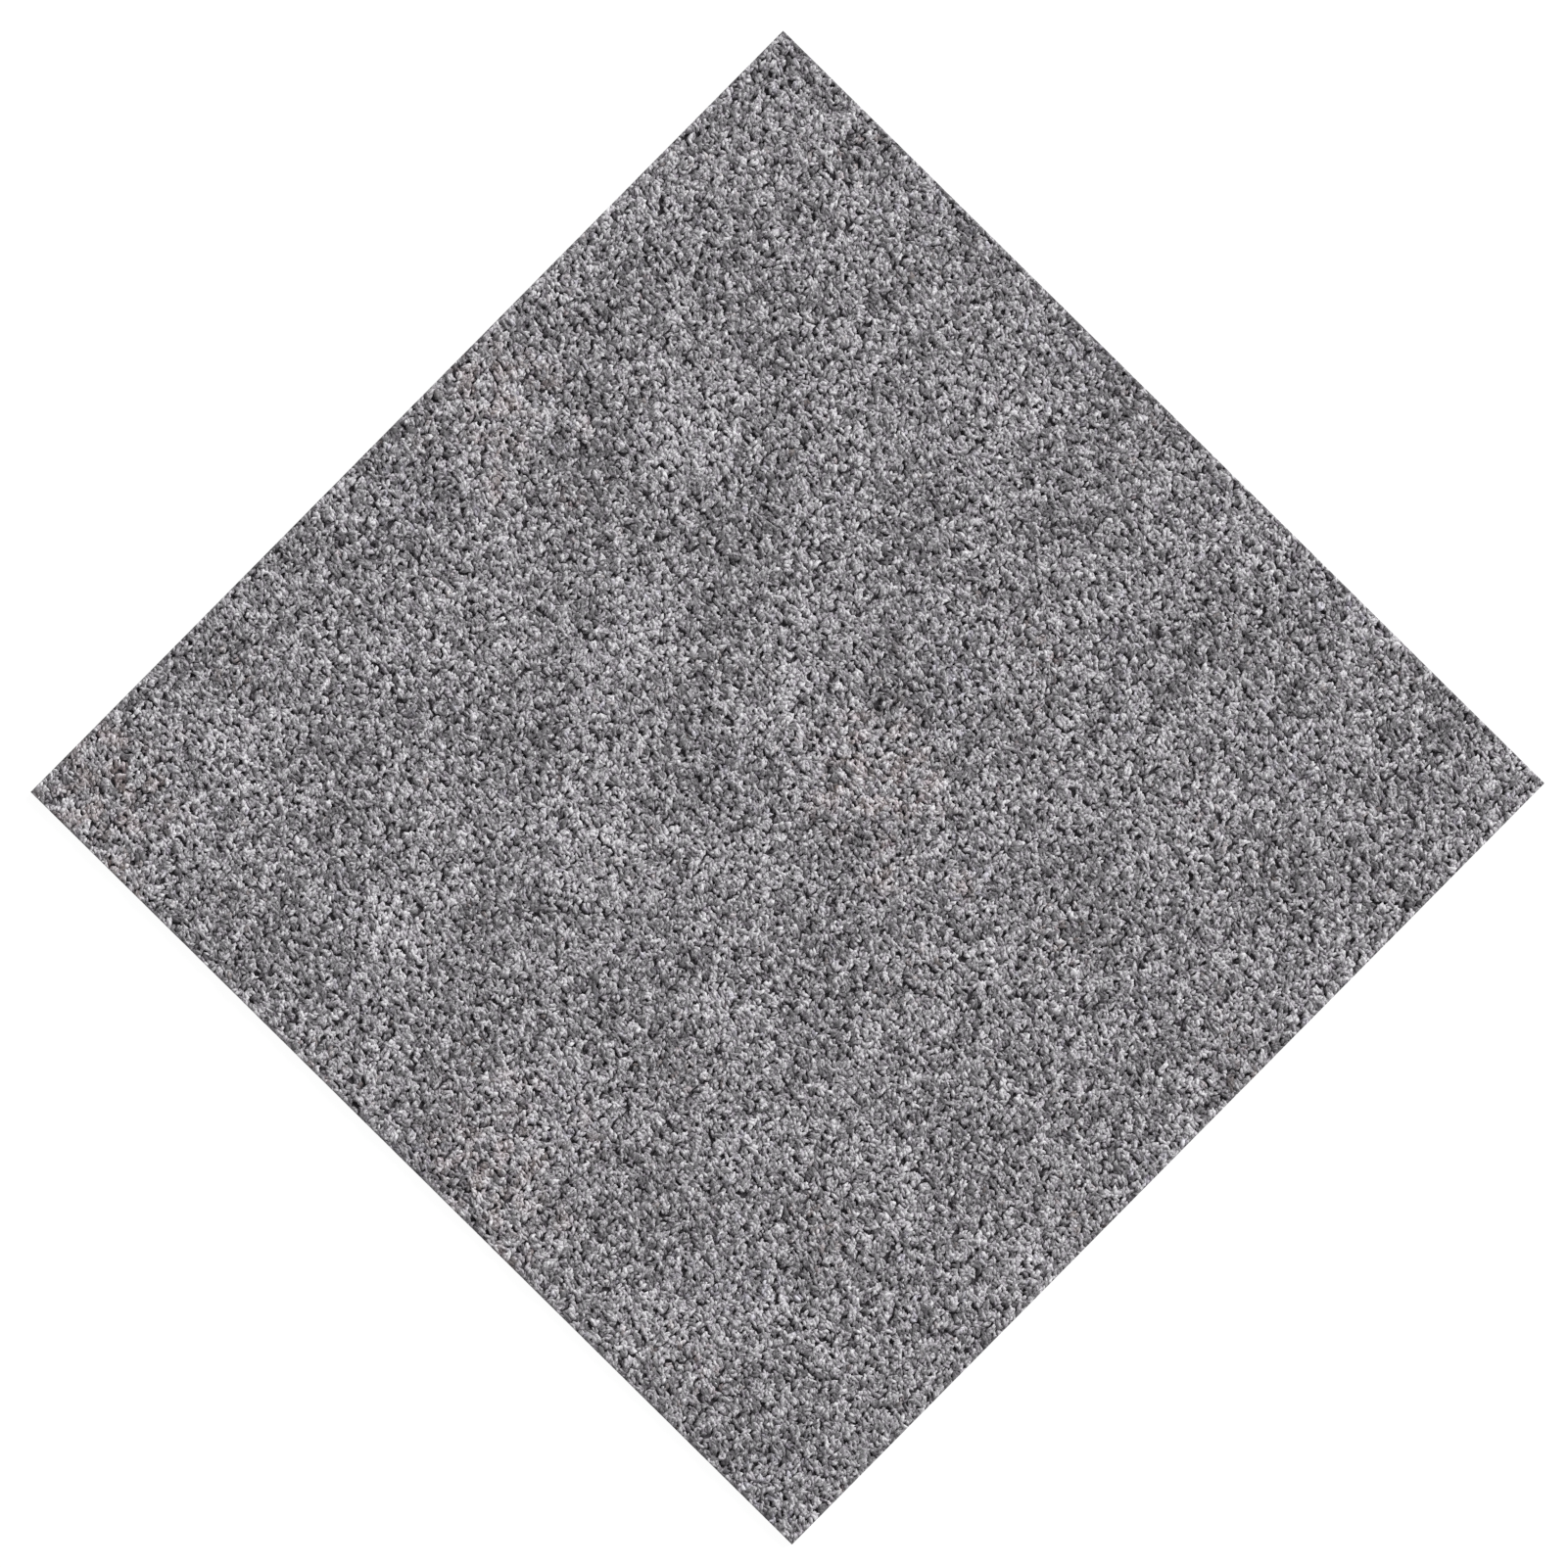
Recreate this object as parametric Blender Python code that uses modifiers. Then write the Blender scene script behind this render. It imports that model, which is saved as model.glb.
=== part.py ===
"""Square carpet tile: a dense tufted pile bonded on a heavy flat backing.

Metres, +Z up. The origin is the centre of the underside. The four cut edges are square
to X and Y, and the tufting rows run along Y.
"""

import bmesh
import bpy

# Driving dimensions
TILE_SIDE = 0.500  # one square floor module
BACKING_THICKNESS = 0.0027  # filled compound with its glass scrim
BOND_CLEARANCE = 0.0003  # the film of bonding compound between backing and pile
PILE_HEIGHT = 0.0040  # tufting cloth and yarn together, up to the tips
TIP_ROUNDING = 0.0008  # the outermost tufts relax over the cut edge

# How finely the rounding is faceted
ROUNDING_SEGMENTS = 3

# Linear colours and roughness
YARN_GREY = (0.222, 0.216, 0.225)
YARN_ROUGHNESS = 0.95
COMPOUND_CHARCOAL = (0.020, 0.020, 0.021)
COMPOUND_ROUGHNESS = 0.80


def clear_scene():
    """Removes whatever the file opened with."""
    for leftover in list(bpy.data.objects):
        bpy.data.objects.remove(leftover, do_unlink=True)


def plain_material(name, colour, roughness):
    """A Principled material of one colour."""
    material = bpy.data.materials.new(name)
    material.use_nodes = True
    surface = material.node_tree.nodes["Principled BSDF"]
    surface.inputs["Base Color"].default_value = (*colour, 1.0)
    surface.inputs["Roughness"].default_value = roughness
    surface.inputs["Metallic"].default_value = 0.0
    return material


def square_slab(name, side, thickness, underside, material):
    """A flat square slab centred on Z, with its underside at the given height."""
    outline = bmesh.new()
    bmesh.ops.create_cube(outline, size=1.0)
    bmesh.ops.scale(outline, vec=(side, side, thickness), verts=outline.verts)
    mesh = bpy.data.meshes.new(name)
    outline.to_mesh(mesh)
    outline.free()
    mesh.materials.append(material)
    slab = bpy.data.objects.new(name, mesh)
    slab.location.z = underside + thickness / 2
    return slab


def round_top_rim(slab, radius):
    """Rounds the four edges round the slab's top, and leaves its upright edges sharp."""
    mesh = slab.data
    weights = mesh.attributes.new("bevel_weight_edge", "FLOAT", "EDGE")
    for edge in mesh.edges:
        on_top = all(mesh.vertices[end].co.z > 0 for end in edge.vertices)
        weights.data[edge.index].value = 1.0 if on_top else 0.0
    rounding = slab.modifiers.new("rounded rim", "BEVEL")
    rounding.limit_method = "WEIGHT"
    rounding.width = radius
    rounding.segments = ROUNDING_SEGMENTS


def build_backing():
    """The heavy sheet that lies on the floor and keeps the tile flat."""
    compound = plain_material("backing_compound", COMPOUND_CHARCOAL, COMPOUND_ROUGHNESS)
    return square_slab("backing", TILE_SIDE, BACKING_THICKNESS, 0.0, compound)


def build_pile():
    """The tufting cloth and its yarn as one slab, cut through together with the backing."""
    yarn = plain_material("pile_yarn", YARN_GREY, YARN_ROUGHNESS)
    seat = BACKING_THICKNESS + BOND_CLEARANCE
    pile = square_slab("pile", TILE_SIDE, PILE_HEIGHT, seat, yarn)
    round_top_rim(pile, min(TIP_ROUNDING, PILE_HEIGHT / 2))
    return pile


def main():
    clear_scene()
    tile = bpy.data.collections.new("carpet_tile")
    bpy.context.scene.collection.children.link(tile)
    centre = bpy.data.objects.new("tile_centre", None)
    tile.objects.link(centre)
    for piece in (build_backing(), build_pile()):
        tile.objects.link(piece)
        piece.parent = centre


main()
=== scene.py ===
"""Looks of the square carpet tile: heathered yarn tufted through a cloth, over the CAD backing.

Metres, +Z up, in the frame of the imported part: the origin is the centre of the underside and
the tufting rows run along Y. Every tuft is real geometry: four plies of yarn, each a small
closed form that rises from the cloth to its tip. Angles are in radians.
"""

import math

import bpy
import numpy as np
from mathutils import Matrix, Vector


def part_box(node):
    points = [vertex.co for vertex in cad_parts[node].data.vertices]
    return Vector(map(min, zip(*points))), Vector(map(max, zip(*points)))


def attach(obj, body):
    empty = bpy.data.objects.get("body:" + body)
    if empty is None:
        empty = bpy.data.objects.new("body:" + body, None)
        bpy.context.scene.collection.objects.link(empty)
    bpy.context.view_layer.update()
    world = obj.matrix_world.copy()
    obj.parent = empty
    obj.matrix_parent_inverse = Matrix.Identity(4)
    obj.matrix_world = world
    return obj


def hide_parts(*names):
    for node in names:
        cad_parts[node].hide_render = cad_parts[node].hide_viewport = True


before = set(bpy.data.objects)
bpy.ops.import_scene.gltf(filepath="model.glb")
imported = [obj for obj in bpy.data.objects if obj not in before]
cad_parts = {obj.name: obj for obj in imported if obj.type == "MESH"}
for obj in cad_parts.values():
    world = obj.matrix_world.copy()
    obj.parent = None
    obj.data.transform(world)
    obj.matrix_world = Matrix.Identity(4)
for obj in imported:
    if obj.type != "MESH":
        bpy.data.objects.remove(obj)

MM = 0.001
SEED = 20
WAVELENGTH_RANGE = (0.7, 1.5)  # of the waves in one field, as shares of its wavelength

# Tile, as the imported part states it
PILE_LOW, PILE_HIGH = (np.array(corner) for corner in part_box("pile"))
BACKING_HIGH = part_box("backing")[1][2]
TILE_SIDE = PILE_HIGH[0] - PILE_LOW[0]

# Tufting cloth
CLOTH_LOW = BACKING_HIGH + 0.03 * MM
CLOTH_TOP = PILE_LOW[2] + 0.45 * MM
CLOTH_CELLS = 40  # across the tile
CLOTH_WAVE = 0.05 * MM
CLOTH_WAVELENGTH = 14 * MM

# Tufts
GAUGE = 3.175 * MM  # between tufting rows, 1/8 inch
STITCH = 3.30 * MM  # between the tufts of one row
ROOT_SCATTER = 0.14  # of the gauge, and of the stitch
ROOT_LIMIT = 2  # no root is scattered by more than this many times that
ROOT_LEVEL = CLOTH_TOP - 0.20 * MM
TIP_LEVEL = PILE_HIGH[2] - 0.85 * MM  # mean height of the tips
TIP_SCATTER = 0.30 * MM
TIP_WAVELENGTH = 9 * MM
LEAN = 0.34 * MM
LEAN_WAVELENGTH = 12 * MM
OWN_SHARE = 0.8  # how much of the scatter of heights and leans is each tuft's own
SHARED_SHARE = 0.6  # and how much it has in common with the tufts round it
NAP = 0.30 * MM  # mean lean of the tips along the rows, towards +Y
BANDS = 6  # the tufts are kept in this many pieces

# Plies, which are the yarn ends of a tuft
PLIES = 4
PLY_SIDES = 5
PLY_SPREAD = 1.08 * MM  # from the tuft's middle to the middle of each ply's tip
SPREAD_RANGE = (0.70, 1.30)  # of that, from ply to ply
ROOT_GATHER = 0.6  # how far apart the roots are, as a share of the tips' spread
TUFT_TURN = math.pi / 4
TUFT_TURN_SCATTER = 0.25
PLY_TURN_SCATTER = 0.30
PLY_RADIUS = 1.33 * MM
PLY_SIZE_SCATTER = 0.15
PLY_SIZE_RANGE = (0.6, 1.5)
PLY_LONG, PLY_NARROW = 1.45, 0.72  # of the radius, along and across the ply's heading
PLY_REACH = (0.84, 1.20)  # least and most of the radius, round one shoulder
PLY_RISE = 0.18 * MM  # up and down round one shoulder
PLY_DOME = 0.64 * MM  # from the shoulder up to the tip
PLY_SCATTER = 0.40 * MM  # of the tips' heights within a tuft
PLY_LIMITS = (-2, 1.5)  # no tip is scattered by more than these times that
PLY_HEADING = math.radians(118)  # from +X, the way that most plies lie
PLY_HEADING_SCATTER = 0.8
TIP_SHIFT = 0.12 * MM
SLANT = 0.25  # rise of the ply ends towards +Y, as a slope

# Plies along the cut edges
RIM_SPACING = 1.40 * MM
RIM_INSET = 0.40 * MM  # from the cut edge to their middle
RIM_DROP = 0.25 * MM  # their tips relax over the edge
RIM_PLACE_SCATTER = 0.25 * MM
RIM_TIP_SCATTER = 0.6 * MM
RIM_SIZE_SCATTER = 0.12
RIM_SIZE_RANGE = (0.7, 1.3)
RIM_PAINTED_SHADE = -0.40  # darker than the field: painted shade against the extra light their open sides catch
RIM_TONE_SCATTER = 0.26
RIM_LIGHT = 0.4  # how much of the painted shade low down their sides are spared
CUT_SCATTER = 0.08 * MM  # the cut leaves each ply a little short of the edge

# Columns in the table of plies
PLY_COLUMNS = 8
ROOT_X, ROOT_Y, TIP_X, TIP_Y, TIP_Z, SIZE, HEADING, TONE = range(PLY_COLUMNS)

# Bake map of one ply, in a square cell 1 wide
TAPER_RING, TAPER_ROOT = 0.27, 0.46  # radii of the shoulder's ring and of the root's points
FULL_INNER, FULL_OUTER = 0.16, 0.45  # radii of the shoulder's ring and of the root's ring
BASE_RING, BASE_OFFSET = 0.07, 0.41  # radius of the base, and where it is in the cell's corner

# Grey of the yarn, from 0, dark, to 1, light
TONE_MEAN = 0.430
TUFT_TONE_SCATTER = 0.165
PLY_TONE_SCATTER = 0.14
# Share, wavelength and seed of each field of mottle
MOTTLE = ((0.03, 9 * MM, SEED + 7), (0.05, 24 * MM, SEED + 5), (0.065, 80 * MM, SEED + 6))
STREAK_TONE = 0.12
STREAK_WAVELENGTH = 6 * MM
STREAK_WAVES = 60
STREAK_SPREAD = 0.45

# Brown flecks in the yarn: middle and radius of each patch, from the tile's centre
FLECK_PATCHES = (
    (-0.224, 0.036, 0.030),
    (0.029, 0.034, 0.034),
    (-0.224, -0.222, 0.030),
    (0.029, -0.222, 0.034),
    (0.060, 0.006, 0.012),
    (-0.193, 0.004, 0.010),
    (-0.193, -0.248, 0.010),
    (0.060, -0.244, 0.010),
    (0.088, 0.028, 0.007),
    (-0.168, 0.026, 0.006),
)
PATCH_UNEVEN = 0.22
PATCH_WAVELENGTH = 30 * MM
PATCH_LIFT = 0.07  # the yarn is a little lighter there
PATCH_BROWN = 0.7  # how brown the brownest clumps are
BROWN_CLUMPS = (0.40, 0.65, 13 * MM)  # mean, spread and wavelength of the clumps in the patches
STRAY_WAVELENGTH = 7 * MM
STRAY_GROUPS = (0.5, 70 * MM)  # share and wavelength
STRAY_BROWN = 2.3  # the strays' field is above this where a ply outside the patches is brown
STRAY_VIOLET = -1.8  # and below this where one is violet
STRAY_LIMIT = 0.6  # how brown a stray is at most

# Linear colours of the yarn, by its grey
YARN_GREYS = (
    (0.0, (0.112, 0.1105, 0.1135)),
    (0.30, (0.230, 0.228, 0.2325)),
    (0.60, (0.372, 0.3695, 0.376)),
    (0.85, (0.474, 0.471, 0.479)),
    (1.0, (0.515, 0.512, 0.520)),
)
YARN_BROWNS = (
    (0.0, (0.134, 0.1095, 0.1005)),
    (0.30, (0.256, 0.225, 0.217)),
    (0.60, (0.391, 0.366, 0.365)),
    (0.85, (0.490, 0.467, 0.469)),
    (1.0, (0.531, 0.508, 0.512)),
)

# What the yarn's colours are multiplied by: a cool tint in a few flecks, and painted shade
VIOLET = (0.95, 0.945, 1.0, 1.0)  # in the few cool flecks
PAINTED_CREASE_SHADE = (0.61, 0.57, 0.62, 1.0)  # painted shade in the creases between one clump of fibres and the next
PAINTED_SHADE_GREY = (0.53, 0.475, 0.54, 1.0)  # painted shade, low down between the plies
PAINTED_SHADE_BROWN = (0.61, 0.475, 0.490, 1.0)
SHADE_LEVELS = (4.3 * MM, 6.35 * MM)  # painted shade: full below the first, none above the second

# Fibres in the yarn: size, stretch along the ply, share of the grey, relief and its strength
FIBRES = (0.55 * MM, (0.28, 1, 0.30), 0.48, 0.25 * MM, 0.5)
STRANDS = (0.16 * MM, (0.08, 1, 0.10), 0.34, 0.08 * MM, 0.8)
CLUMP = 2.20 * MM
CLUMP_WARP = (1.0 * MM, 0.6 * MM)  # size and reach
CLUMP_TONE = 0.30
PAINTED_CREASE_WIDTH = 0.13  # of a clump, for the painted crease shade

# Cloth and backing
THREAD_SCALE = 320.0  # gives about 1 mm from thread to thread
CLOTH_DARK = (0.020, 0.018, 0.0205, 1.0)
CLOTH_LIGHT = (0.060, 0.055, 0.061, 1.0)
COMPOUND_DARK = (0.016, 0.016, 0.017, 1.0)
COMPOUND_LIGHT = (0.030, 0.030, 0.031, 1.0)

# Studio
FLOOR_HALF = 3.0
FLOOR_LEVEL = -0.1 * MM
FLOOR_COLOURS = ((0.06, 0.06, 0.06, 1.0), (0.07, 0.07, 0.07, 1.0))
FLOOR_GLOW = 0.94
SURROUND_LIGHT = 0.61  # what the surround lights the tile with; the camera sees it full white
KEY_STRENGTH = 4.75
KEY_ANGLE = math.radians(38)  # how wide the key is, so how soft
KEY_LEVEL = math.radians(38)
KEY_HEADING = math.radians(86)

# Photograph's framing
PHOTO_PX = 1601
TILE_SIDE_PX = 1093.3
TILE_CENTRE_PX = (804.14, 804.20)
TILE_TURN = math.radians(44.665)
CAMERA_HEIGHT = 12.0
SENSOR = 36.0


def ripple(x, y, wavelength, seed, waves=24, spread=math.pi):
    """A smooth random field with mean 0 and spread 1 that varies over about one wavelength.

    With a spread under pi its waves run within that angle of the photograph's horizontal, so
    that it forms streaks along the photograph's vertical.
    """
    rng = np.random.default_rng(seed)
    total = np.zeros_like(x)
    for _ in range(waves):
        heading = TILE_TURN + rng.uniform(-spread, spread)
        pace = 2 * math.pi / (wavelength * rng.uniform(*WAVELENGTH_RANGE))
        along = x * math.cos(heading) + y * math.sin(heading)
        total += np.cos(pace * along + rng.uniform(0, 2 * math.pi))
    return total / math.sqrt(waves / 2)


def mesh_piece(name, points, faces, material, attributes=(), bake_map=None):
    """A mesh object from numpy points and equal-sized groups of faces."""
    mesh = bpy.data.meshes.new(name)
    sizes = np.concatenate([np.full(len(group), group.shape[1], np.int32) for group in faces])
    corners = np.concatenate([group.ravel() for group in faces]).astype(np.int32)
    starts = np.concatenate([[0], np.cumsum(sizes)[:-1]]).astype(np.int32)
    mesh.vertices.add(len(points))
    mesh.vertices.foreach_set("co", points.astype(np.float32).ravel())
    mesh.loops.add(len(corners))
    mesh.loops.foreach_set("vertex_index", corners)
    mesh.polygons.add(len(sizes))
    mesh.polygons.foreach_set("loop_start", starts)
    mesh.polygons.foreach_set("use_smooth", np.ones(len(sizes), bool))
    for label, values in attributes:
        attribute = mesh.attributes.new(label, "FLOAT", "POINT")
        attribute.data.foreach_set("value", values.astype(np.float32))
    if bake_map is not None:
        layer = mesh.uv_layers.new(name="OFBake")
        layer.uv.foreach_set("vector", bake_map.astype(np.float32).ravel())
    mesh.update(calc_edges=True)
    mesh.validate()
    mesh.materials.append(material)
    piece = bpy.data.objects.new(name, mesh)
    bpy.context.scene.collection.objects.link(piece)
    return piece


# Materials


class Nodes:
    """Short names for making and linking the nodes of one material."""

    def __init__(self, name):
        self.material = bpy.data.materials.new(name)
        self.material.use_nodes = True
        self.tree = self.material.node_tree
        self.surface = self.tree.nodes["Principled BSDF"]

    def add(self, kind, **settings):
        """A new node of this kind, with its settings."""
        node = self.tree.nodes.new("ShaderNode" + kind)
        for key, value in settings.items():
            setattr(node, key, value)
        return node

    def link(self, output, socket):
        """Joins an output to a socket."""
        self.tree.links.new(output, socket)

    def fill(self, socket, value):
        """Gives a socket its value, which may be another node's output."""
        if isinstance(value, bpy.types.NodeSocket):
            self.link(value, socket)
        else:
            socket.default_value = value

    def place(self):
        """Where the surface is, in the piece's own metres."""
        return self.add("TexCoord").outputs["Object"]

    def attribute(self, name):
        """The value that each point of the mesh carries under this name."""
        return self.add("Attribute", attribute_name=name).outputs["Fac"]

    def stretched(self, vector, scale):
        """The vector, multiplied by the scale on each axis."""
        node = self.add("Mapping")
        self.link(vector, node.inputs["Vector"])
        node.inputs["Scale"].default_value = scale
        return node.outputs["Vector"]

    def turned(self, vector, angle):
        """The vector, turned about Z by the angle."""
        node = self.add("VectorRotate", rotation_type="Z_AXIS")
        self.link(vector, node.inputs["Vector"])
        self.link(angle, node.inputs["Angle"])
        return node.outputs["Vector"]

    def warped(self, vector, size, reach):
        """The vector, pushed about smoothly by up to about this reach."""
        push = self.add("TexNoise")
        self.link(vector, push.inputs["Vector"])
        push.inputs["Scale"].default_value = 1 / size
        push.inputs["Detail"].default_value = 1.0
        centred = self.add("VectorMath", operation="SUBTRACT")
        self.link(push.outputs["Color"], centred.inputs[0])
        centred.inputs[1].default_value = (0.5, 0.5, 0.5)
        moved = self.add("VectorMath", operation="MULTIPLY_ADD")
        self.link(centred.outputs[0], moved.inputs[0])
        moved.inputs[1].default_value = (2 * reach, 2 * reach, 2 * reach)
        self.link(vector, moved.inputs[2])
        return moved.outputs[0]

    def noise(self, vector, size, detail=2.0, roughness=0.5):
        """Smooth noise around 0.5 with features of about this size."""
        node = self.add("TexNoise")
        self.link(vector, node.inputs["Vector"])
        node.inputs["Scale"].default_value = 1 / size
        node.inputs["Detail"].default_value = detail
        node.inputs["Roughness"].default_value = roughness
        return node.outputs["Fac"]

    def cells(self, vector, size):
        """A random number in each cell, and the distance to the cell's edge in cell sizes."""
        inside = self.add("TexVoronoi")
        border = self.add("TexVoronoi", feature="DISTANCE_TO_EDGE")
        for node in (inside, border):
            self.link(vector, node.inputs["Vector"])
            node.inputs["Scale"].default_value = 1 / size
        split = self.add("SeparateColor")
        self.link(inside.outputs["Color"], split.inputs[0])
        return split.outputs[0], border.outputs["Distance"]

    def spread(self, value, low, high, to_low, to_high):
        """The value, moved and held from one range into the other."""
        node = self.add("MapRange")
        for socket, number in zip(node.inputs, (value, low, high, to_low, to_high)):
            self.fill(socket, number)
        return node.outputs["Result"]

    def maths(self, operation, a, b):
        """One sum on two numbers."""
        node = self.add("Math", operation=operation)
        self.fill(node.inputs[0], a)
        self.fill(node.inputs[1], b)
        return node.outputs[0]

    def tinted(self, factor, colour_a, colour_b, blend="MIX"):
        """The first colour, blended with this much of the second."""
        node = self.add("Mix", data_type="RGBA", blend_type=blend)
        self.fill(node.inputs["Factor"], factor)
        self.fill(node.inputs[6], colour_a)
        self.fill(node.inputs[7], colour_b)
        return node.outputs[2]

    def shaded(self, colour, amount, dark):
        """The colour, multiplied by the dark one where the amount is 0 and kept where it is 1."""
        shade = self.tinted(amount, dark, (1.0, 1.0, 1.0, 1.0))
        return self.tinted(1.0, colour, shade, "MULTIPLY")

    def scaled(self, colour, value):
        """The colour, made lighter or darker by the value."""
        node = self.add("VectorMath", operation="SCALE")
        self.fill(node.inputs[0], colour)
        self.fill(node.inputs["Scale"], value)
        return node.outputs[0]

    def ramp(self, value, stops):
        """A colour by the value, from stops that each give a position and a colour."""
        node = self.add("ValToRGB")
        elements = node.color_ramp.elements
        while len(elements) < len(stops):
            elements.new(0.5)
        for element, (position, colour) in zip(elements, stops):
            element.position = position
            element.color = (*colour, 1.0)
        self.link(value, node.inputs["Fac"])
        return node.outputs["Color"]

    def bump(self, height, distance, strength=1.0, over=None):
        """A normal for the height, which may lie over the normal of a coarser bump."""
        node = self.add("Bump")
        self.link(height, node.inputs["Height"])
        node.inputs["Distance"].default_value = distance
        node.inputs["Strength"].default_value = strength
        if over is not None:
            self.link(over, node.inputs["Normal"])
        return node.outputs["Normal"]

    def finish(self, **values):
        """The material, with these values on its Principled shader."""
        for name, value in values.items():
            self.fill(self.surface.inputs[name.replace("_", " ")], value)
        return self.material


def yarn_material():
    """Heathered grey yarn: each ply has its own grey, and its fibres run along it. Painted shade
    darkens the creases between clumps of fibres and the yarn low down between the plies.
    """
    nodes = Nodes("heather_yarn")
    place = nodes.place()
    fleck = nodes.attribute("fleck")
    along_ply = nodes.turned(place, nodes.maths("MULTIPLY", nodes.attribute("heading"), -1.0))
    grey = nodes.attribute("tone")
    normal = None
    for size, stretch, share, relief, strength in (FIBRES, STRANDS):
        thread = nodes.noise(nodes.stretched(along_ply, stretch), size, 2.0, 0.6)
        grey = nodes.maths("ADD", grey, nodes.spread(thread, 0.25, 0.75, -share, share))
        normal = nodes.bump(thread, relief, strength, normal)
    clumps, clump_edges = nodes.cells(nodes.warped(place, *CLUMP_WARP), CLUMP)
    grey = nodes.maths("ADD", grey, nodes.spread(clumps, 0.0, 1.0, -CLUMP_TONE, CLUMP_TONE))
    colour = nodes.tinted(fleck, nodes.ramp(grey, YARN_GREYS), nodes.ramp(grey, YARN_BROWNS))
    colour = nodes.shaded(colour, nodes.spread(fleck, -1.0, 0.0, 0.0, 1.0), VIOLET)
    # Painted shade in the creases between clumps of fibres
    colour = nodes.shaded(colour, nodes.spread(clump_edges, 0.0, PAINTED_CREASE_WIDTH, 0.0, 1.0), PAINTED_CREASE_SHADE)
    # Painted shade: the yarn is darkened low down between the plies, less so on the sides of the
    # rim plies
    split = nodes.add("SeparateXYZ")
    nodes.link(place, split.inputs[0])
    height = nodes.spread(split.outputs["Z"], *SHADE_LEVELS, 0.0, 1.0)
    lit = nodes.maths("MAXIMUM", height, nodes.attribute("painted_shade_spared"))
    colour = nodes.shaded(colour, lit, nodes.tinted(fleck, PAINTED_SHADE_GREY, PAINTED_SHADE_BROWN))
    return nodes.finish(
        Base_Color=colour,
        Roughness=0.92,
        Specular_IOR_Level=0.10,
        Sheen_Weight=0.15,
        Sheen_Roughness=0.5,
        Normal=normal,
    )


def cloth_material():
    """Tufting cloth: a dark woven ground."""
    nodes = Nodes("tufting_cloth_weave")
    place = nodes.place()
    threads = []
    for direction in ("X", "Y"):
        wave = nodes.add("TexWave", wave_type="BANDS", bands_direction=direction)
        nodes.link(place, wave.inputs["Vector"])
        wave.inputs["Scale"].default_value = THREAD_SCALE
        threads.append(wave.outputs["Fac"])
    weave = nodes.maths("MAXIMUM", *threads)
    worn = nodes.noise(place, 1.5 * MM, 3.0)
    colour = nodes.tinted(weave, CLOTH_DARK, CLOTH_LIGHT)
    return nodes.finish(
        Base_Color=nodes.scaled(colour, nodes.spread(worn, 0.2, 0.8, 0.6, 1.4)),
        Roughness=0.9,
        Specular_IOR_Level=0.1,
        Normal=nodes.bump(weave, 0.1 * MM),
    )


def compound_material():
    """Backing compound: charcoal, finely gritty, with a faint mottle from pressing."""
    nodes = Nodes("charcoal_compound")
    place = nodes.place()
    grit = nodes.noise(place, 0.5 * MM, 3.0, 0.7)
    mottle = nodes.noise(place, 18 * MM, 4.0, 0.6)
    colour = nodes.tinted(
        nodes.spread(mottle, 0.35, 0.65, 0.0, 1.0), COMPOUND_DARK, COMPOUND_LIGHT
    )
    return nodes.finish(
        Base_Color=nodes.scaled(colour, nodes.spread(grit, 0.25, 0.75, 0.6, 1.5)),
        Roughness=nodes.spread(mottle, 0.3, 0.7, 0.70, 0.88),
        Normal=nodes.bump(grit, 0.12 * MM, 0.7),
    )


def floor_material():
    """Plain white floor, lit from within like a light table and clear when seen from below."""
    nodes = Nodes("white_floor")
    soft = nodes.noise(nodes.place(), 0.4, 2.0)
    below = nodes.add("NewGeometry").outputs["Backfacing"]
    nodes.material.cycles.emission_sampling = "NONE"
    return nodes.finish(
        Base_Color=nodes.tinted(soft, *FLOOR_COLOURS),
        Roughness=0.9,
        Emission_Color=(1.0, 1.0, 1.0, 1.0),
        Emission_Strength=FLOOR_GLOW,
        Alpha=nodes.maths("SUBTRACT", 1.0, below),
    )


# Pieces


def build_cloth():
    """The thin woven cloth that the yarn is tufted through, from the backing's top up."""
    steps = CLOTH_CELLS + 1
    line = np.linspace(PILE_LOW[0], PILE_HIGH[0], steps)
    x, y = (axis.ravel() for axis in np.meshgrid(line, line, indexing="ij"))
    wave = CLOTH_WAVE * ripple(x, y, CLOTH_WAVELENGTH, SEED + 1)
    top = np.stack([x, y, CLOTH_TOP + wave], 1)
    low = np.stack([x, y, np.full_like(x, CLOTH_LOW)], 1)
    grid = np.arange(steps * steps).reshape(steps, steps)
    quads = [grid[:-1, :-1], grid[1:, :-1], grid[1:, 1:], grid[:-1, 1:]]
    ups = np.stack(quads, -1).reshape(-1, 4)
    downs = ups[:, ::-1] + steps * steps
    rims = []
    for rim in (grid[:, 0], grid[-1, :], grid[::-1, -1], grid[0, ::-1]):
        a, b = rim[:-1], rim[1:]
        rims.append(np.stack([a, a + steps * steps, b + steps * steps, b], 1)[:, ::-1])
    faces = [np.concatenate([ups, downs, *rims])]
    return mesh_piece("tufting_cloth", np.concatenate([top, low]), faces, cloth_material())


def evenly(spacing):
    """Places across the tile, about this far apart and half as far from its edges."""
    count = round(TILE_SIDE / spacing)
    return PILE_LOW[0] + (np.arange(count) + 0.5) * TILE_SIDE / count


def in_patches(x, y):
    """How far each place is inside the brown patches, from 0 to 1."""
    share = np.zeros_like(x)
    uneven = 1 + PATCH_UNEVEN * ripple(x, y, PATCH_WAVELENGTH, SEED + 11)
    for middle_x, middle_y, radius in FLECK_PATCHES:
        away = uneven * np.hypot(x - middle_x, y - middle_y) / radius
        # Full within about half of the radius, and none past about a quarter more than it
        share = np.maximum(share, (1.6 - 1.3 * away).clip(0, 1))
    return share


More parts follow.
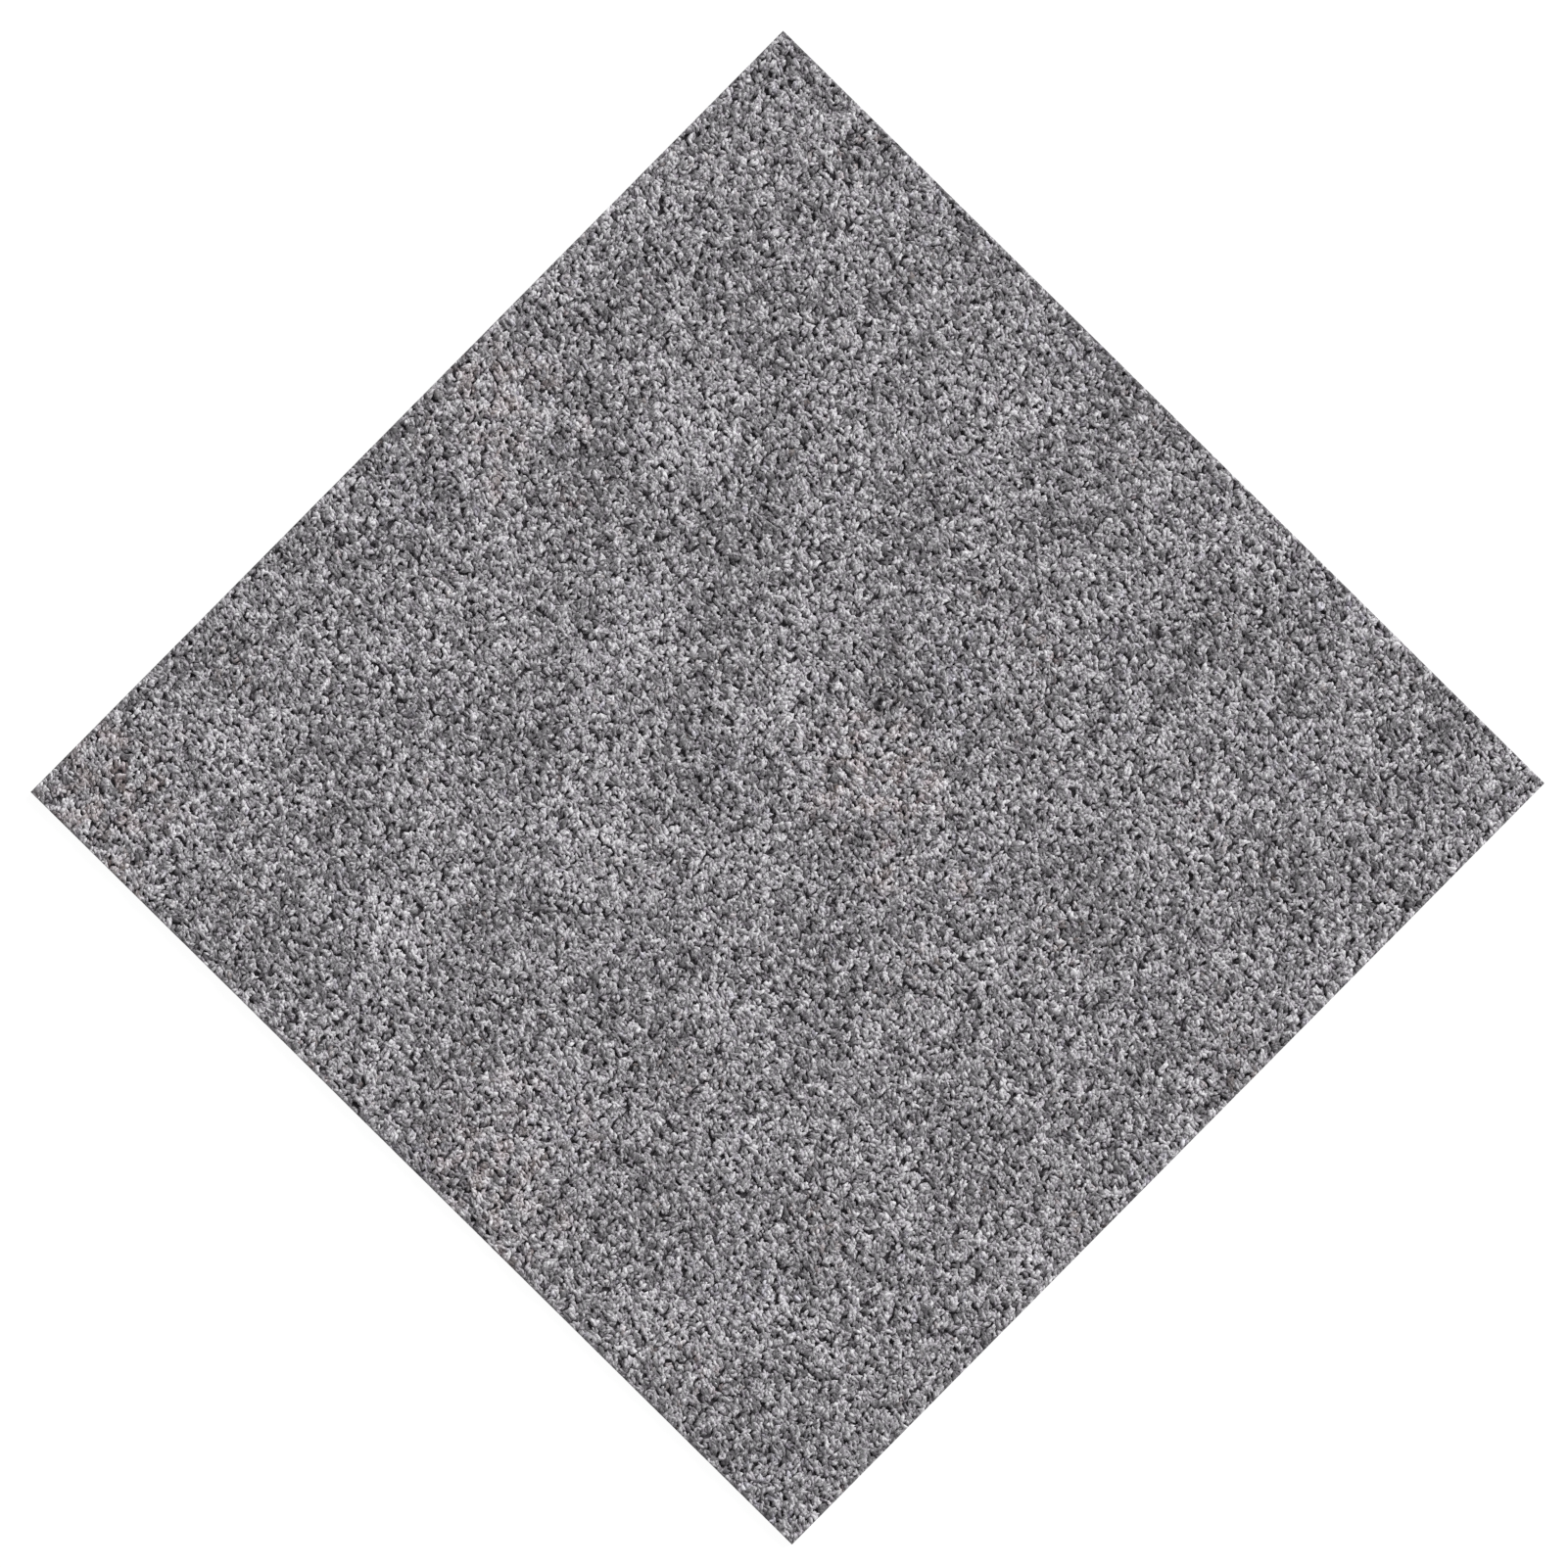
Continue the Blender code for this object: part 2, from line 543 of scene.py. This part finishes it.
def yarn_tone(rng, x, y):
    """The grey of the yarn at each place, from 0, dark, to 1, light."""
    tone = TONE_MEAN + TUFT_TONE_SCATTER * rng.normal(0, 1, x.size)
    for share, wavelength, seed in MOTTLE:
        tone += share * ripple(x, y, wavelength, seed)
    streaks = ripple(x, y, STREAK_WAVELENGTH, SEED + 10, STREAK_WAVES, STREAK_SPREAD)
    return tone + STREAK_TONE * streaks + PATCH_LIFT * in_patches(x, y)


def partly_shared(rng, x, y, wavelength, seed):
    """Random numbers of spread 1, partly each tuft's own and partly shared by those round it."""
    own = rng.normal(0, 1, x.size)
    return OWN_SHARE * own + SHARED_SHARE * ripple(x, y, wavelength, seed)


def lay_tufts(rng):
    """Where each tuft is rooted, how high its tip stands, where it leans and its grey."""
    x, y = (axis.ravel() for axis in np.meshgrid(evenly(GAUGE), evenly(STITCH), indexing="ij"))
    x = x + ROOT_SCATTER * GAUGE * rng.normal(0, 1, x.size).clip(-ROOT_LIMIT, ROOT_LIMIT)
    y = y + ROOT_SCATTER * STITCH * rng.normal(0, 1, y.size).clip(-ROOT_LIMIT, ROOT_LIMIT)
    tip = TIP_LEVEL + TIP_SCATTER * partly_shared(rng, x, y, TIP_WAVELENGTH, SEED + 2)
    lean_x = LEAN * partly_shared(rng, x, y, LEAN_WAVELENGTH, SEED + 3)
    lean_y = NAP + LEAN * partly_shared(rng, x, y, LEAN_WAVELENGTH, SEED + 4)
    return x, y, tip, lean_x, lean_y, yarn_tone(rng, x, y)


def split_plies(rng, tufts):
    """The table of the plies of every tuft."""
    x, y, tip, lean_x, lean_y, tone = tufts
    twist = TUFT_TURN + rng.normal(0, TUFT_TURN_SCATTER, x.size)
    plies = []
    for number in range(PLIES):
        turn = number * 2 * math.pi / PLIES + rng.normal(0, PLY_TURN_SCATTER, x.size)
        apart = PLY_SPREAD * rng.uniform(*SPREAD_RANGE, x.size)
        across, along = apart * np.cos(twist + turn), apart * np.sin(twist + turn)
        columns = [
            x + ROOT_GATHER * across,
            y + ROOT_GATHER * along,
            x + across + lean_x,
            y + along + lean_y,
            tip + PLY_SCATTER * rng.normal(0, 1, x.size).clip(*PLY_LIMITS),
            np.exp(rng.normal(0, PLY_SIZE_SCATTER, x.size)).clip(*PLY_SIZE_RANGE),
            PLY_HEADING + PLY_HEADING_SCATTER * rng.normal(0, 1, x.size),
            tone + rng.normal(0, PLY_TONE_SCATTER, x.size),
        ]
        plies.append(np.stack(columns, 1))
    return np.stack(plies, 1).reshape(-1, PLY_COLUMNS)


def rim_plies(rng):
    """The table of the plies that stand along the four cut edges."""
    along = evenly(RIM_SPACING)
    out = np.full(along.size, PILE_HIGH[0] - RIM_INSET)
    x = np.concatenate([out, along, -out, along])
    y = np.concatenate([along, out, along, -out])
    x = x + rng.normal(0, RIM_PLACE_SCATTER, x.size)
    y = y + rng.normal(0, RIM_PLACE_SCATTER, y.size)
    tip = TIP_LEVEL - RIM_DROP + RIM_TIP_SCATTER * rng.normal(0, 1, x.size).clip(*PLY_LIMITS)
    size = np.exp(rng.normal(0, RIM_SIZE_SCATTER, x.size)).clip(*RIM_SIZE_RANGE)
    heading = rng.uniform(0, math.pi, x.size)
    # The rim plies are darkened with painted shade against the light that reaches them at the open
    # edge
    tone = yarn_tone(rng, x, y) + RIM_PAINTED_SHADE + rng.normal(0, RIM_TONE_SCATTER, x.size)
    return np.stack([x, y, x, y, tip, size, heading, tone], 1)


def fleck_of(plies):
    """How brown each ply is, or how violet below 0: clumps in the patches, and a few strays."""
    x, y = plies[:, TIP_X], plies[:, TIP_Y]
    mean, spread, wavelength = BROWN_CLUMPS
    clumps = mean + spread * ripple(x, y, wavelength, SEED + 9)
    brown = PATCH_BROWN * in_patches(x, y) * clumps.clip(0, 1)
    share, wavelength = STRAY_GROUPS
    strays = ripple(x, y, STRAY_WAVELENGTH, SEED + 12) + share * ripple(x, y, wavelength, SEED + 13)
    stray_brown = (strays - STRAY_BROWN).clip(0, STRAY_LIMIT)
    stray_violet = (STRAY_VIOLET - strays).clip(0, 1)
    return brown + stray_brown - stray_violet


def rings(rng, plies, slant):
    """Uneven oval rings of points, one round each ply's shoulder, longest along its heading."""
    tip_x, tip_y, tip_z, size, heading = plies[:, TIP_X:TONE].T[:, :, None]
    shape = (len(plies), PLY_SIDES)
    start = rng.uniform(0, 2 * math.pi, (len(plies), 1))
    angle = start + np.arange(PLY_SIDES) * 2 * math.pi / PLY_SIDES
    reach = PLY_RADIUS * size * rng.uniform(*PLY_REACH, shape)
    long, short = PLY_LONG * reach * np.cos(angle), PLY_NARROW * reach * np.sin(angle)
    aside = long * np.cos(heading) - short * np.sin(heading)
    ahead = long * np.sin(heading) + short * np.cos(heading)
    rise = rng.uniform(-PLY_RISE, PLY_RISE, shape) + slant * ahead
    return np.stack([tip_x + aside, tip_y + ahead, tip_z - PLY_DOME + rise], -1)


def kept_in_tile(rng, points):
    """The points, with what would stand past the cut edges or the tips' level cut off flat."""
    short = CUT_SCATTER * rng.uniform(0, 1, (len(points), 1))
    for axis in (0, 1):
        points[..., axis] = points[..., axis].clip(PILE_LOW[axis] + short, PILE_HIGH[axis] - short)
    points[..., 2] = points[..., 2].clip(None, PILE_HIGH[2])
    return points


def fan(first, apex, upwards):
    """Triangles from a ring of points to its apex."""
    here = first + np.arange(PLY_SIDES)
    after = first + (np.arange(PLY_SIDES) + 1) % PLY_SIDES
    ends = (here, after) if upwards else (after, here)
    return np.stack([*ends, np.full(PLY_SIDES, apex)], 1)


def wall(low, high):
    """Quads between two rings of points."""
    here = np.arange(PLY_SIDES)
    after = (here + 1) % PLY_SIDES
    return np.stack([low + here, low + after, high + after, high + here], 1)


def on_circle(radius, turn=0.0):
    """Places round a circle, one for each side of a ply, turned by this share of a side."""
    angle = (np.arange(PLY_SIDES) + turn) * 2 * math.pi / PLY_SIDES
    return radius * np.stack([np.cos(angle), np.sin(angle)], 1)


def tips_of(rng, plies):
    """The top point of each ply."""
    tip_x, tip_y, tip_z = plies[:, TIP_X:SIZE].T
    off = rng.normal(0, TIP_SHIFT, (2, len(plies)))
    return np.stack([tip_x + off[0], tip_y + SLANT * PLY_RADIUS + off[1], tip_z], -1)[:, None, :]


def tapered_plies(rng, plies):
    """Plies in the field: a root point, a shoulder ring and a tip each.

    In the bake map the fan up to the tip fills a disc, and the triangles down to the root
    stand round it.
    """
    root_z = np.full(len(plies), ROOT_LEVEL)
    root = np.stack([plies[:, ROOT_X], plies[:, ROOT_Y], root_z], -1)[:, None, :]
    parts = [root, rings(rng, plies, SLANT), tips_of(rng, plies)]
    points = kept_in_tile(rng, np.concatenate(parts, 1))
    faces = [np.concatenate([fan(1, 0, False), fan(1, PLY_SIDES + 1, True)])]
    ring, root = on_circle(TAPER_RING), on_circle(TAPER_ROOT, 0.5)
    after = np.roll(ring, -1, 0)
    downs, ups = np.stack([after, ring, root], 1), np.stack([ring, after, 0 * ring], 1)
    return points, faces, [np.concatenate([downs, ups])]


def full_plies(rng, plies):
    """Plies along the cut edges: as wide at the root as at the shoulder, because their sides show.

    In the bake map the fan up to the tip fills a disc, the sides lie round it, and the base
    is in a corner of the cell.
    """
    shoulder = rings(rng, plies, 0.0)
    root = shoulder * (1, 1, 0) + (0, 0, ROOT_LEVEL)
    points = kept_in_tile(rng, np.concatenate([root, shoulder, tips_of(rng, plies)], 1))
    top = fan(PLY_SIDES, 2 * PLY_SIDES, True)
    base = np.arange(PLY_SIDES)[None, ::-1]
    inner, outer = on_circle(FULL_INNER), on_circle(FULL_OUTER)
    after_inner, after_outer = np.roll(inner, -1, 0), np.roll(outer, -1, 0)
    spread = [
        np.stack([inner, after_inner, 0 * inner], 1),
        np.stack([outer, after_outer, after_inner, inner], 1),
        (on_circle(BASE_RING) + BASE_OFFSET)[None, ::-1],
    ]
    return points, [top, wall(0, PLY_SIDES), base], spread


def repeated(faces, count, each):
    """The faces of one ply, for every ply in turn."""
    first = (np.arange(count) * each)[:, None, None]
    return (first + faces).reshape(-1, faces.shape[1])


def in_cells(spread, numbers, cells):
    """The bake map of one ply's faces, in the square cell of every ply."""
    corner = np.stack([numbers % cells, numbers // cells], 1) + 0.5
    return ((corner[:, None, None, :] + spread) / cells).reshape(-1, 2)


def build_band(rng, name, field, rim, yarn):
    """One piece of the pile: its plies in the field and those along the cut edges."""
    points, faces, bake_map, owners, painted_shade_spared = [], [], [], [], []
    cells = math.ceil(math.sqrt(len(field) + len(rim)))
    laid = 0
    corners = 0
    # Each ply also carries how much of the painted shade low down it is spared
    for plies, shape, light in ((field, tapered_plies, 0.0), (rim, full_plies, RIM_LIGHT)):
        own_points, own_faces, own_spread = shape(rng, plies)
        each = own_points.shape[1]
        numbers = laid + np.arange(len(plies))
        for group, spread in zip(own_faces, own_spread):
            faces.append(corners + repeated(group, len(plies), each))
            bake_map.append(in_cells(spread, numbers, cells))
        points.append(own_points.reshape(-1, 3))
        owners.append(np.repeat(numbers, each))
        painted_shade_spared.append(np.full(len(points[-1]), light))
        laid += len(plies)
        corners += len(points[-1])
    plies = np.concatenate([field, rim])
    owner = np.concatenate(owners)
    attributes = [
        ("tone", plies[owner, TONE]),
        ("heading", plies[owner, HEADING]),
        ("painted_shade_spared", np.concatenate(painted_shade_spared)),
        ("fleck", fleck_of(plies)[owner]),
    ]
    return mesh_piece(
        name, np.concatenate(points), faces, yarn, attributes, np.concatenate(bake_map)
    )


def build_tufts():
    """All the tufts, in bands of rows, because one piece would be too heavy."""
    rng = np.random.default_rng(SEED)
    field = split_plies(rng, lay_tufts(rng))
    rim = rim_plies(rng)
    yarn = yarn_material()
    pieces = []
    bounds = np.linspace(PILE_LOW[0], PILE_HIGH[0], BANDS + 1)
    for number in range(BANDS):
        low, high = bounds[number : number + 2]
        own = []
        for part in (field, rim):
            inside = (part[:, ROOT_X] >= low) & (part[:, ROOT_X] < high)
            own.append(part[inside])
        pieces.append(build_band(rng, f"tuft_rows_{number + 1}", *own, yarn))
    return pieces


# Studio


def build_floor():
    """A large plain floor, a hair below the underside so that the two faces don't coincide."""
    corners = ((-1, -1), (1, -1), (1, 1), (-1, 1))
    points = np.array([[x * FLOOR_HALF, y * FLOOR_HALF, FLOOR_LEVEL] for x, y in corners])
    floor = mesh_piece("floor", points, [np.array([[0, 1, 2, 3]])], floor_material())


def place_camera():
    """Straight overhead with a long lens, rolled and offset as in the photograph."""
    metres_per_px = TILE_SIDE / TILE_SIDE_PX
    right = Vector((math.cos(TILE_TURN), math.sin(TILE_TURN), 0))
    up = Vector((-math.sin(TILE_TURN), math.cos(TILE_TURN), 0))
    aside = (PHOTO_PX / 2 - TILE_CENTRE_PX[0]) * metres_per_px
    above = (TILE_CENTRE_PX[1] - PHOTO_PX / 2) * metres_per_px
    lens = bpy.data.cameras.new("overhead")
    lens.sensor_width = SENSOR
    lens.lens = SENSOR * CAMERA_HEIGHT / (PHOTO_PX * metres_per_px)
    camera = bpy.data.objects.new("overhead", lens)
    camera.location = right * aside + up * above + Vector((0, 0, PILE_HIGH[2] + CAMERA_HEIGHT))
    camera.rotation_euler = (0, 0, TILE_TURN)
    bpy.context.scene.collection.objects.link(camera)
    bpy.context.scene.camera = camera


def light_surround():
    """An even white surround, which lights the tile less than it shows to the camera."""
    world = bpy.data.worlds.new("studio")
    world.use_nodes = True
    background = world.node_tree.nodes["Background"]
    background.inputs["Color"].default_value = (1.0, 1.0, 1.0, 1.0)
    rays = world.node_tree.nodes.new("ShaderNodeLightPath")
    strength = world.node_tree.nodes.new("ShaderNodeMapRange")
    world.node_tree.links.new(rays.outputs["Is Camera Ray"], strength.inputs["Value"])
    strength.inputs["To Min"].default_value = SURROUND_LIGHT
    strength.inputs["To Max"].default_value = 1.0
    world.node_tree.links.new(strength.outputs["Result"], background.inputs["Strength"])
    bpy.context.scene.world = world


def light_key():
    """A soft key from the photograph's upper right."""
    key = bpy.data.lights.new("key", "SUN")
    key.energy = KEY_STRENGTH
    key.angle = KEY_ANGLE
    lamp = bpy.data.objects.new("key", key)
    level_share = math.cos(KEY_LEVEL)
    across, along = level_share * math.cos(KEY_HEADING), level_share * math.sin(KEY_HEADING)
    towards = Vector((across, along, math.sin(KEY_LEVEL)))
    lamp.rotation_mode = "QUATERNION"
    lamp.rotation_quaternion = towards.to_track_quat("Z", "Y")
    bpy.context.scene.collection.objects.link(lamp)


def main():
    """Dresses the part and sets the studio."""
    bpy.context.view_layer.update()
    cloth = build_cloth()
    tufts = build_tufts()
    for piece in (cloth, *tufts):
        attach(piece, "root")
        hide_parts("pile")
    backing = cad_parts["backing"]
    compound = compound_material()
    for slot in backing.material_slots:
        slot.material = compound
    build_floor()
    place_camera()
    light_surround()
    light_key()
    bpy.context.scene.view_settings.view_transform = "Standard"


main()
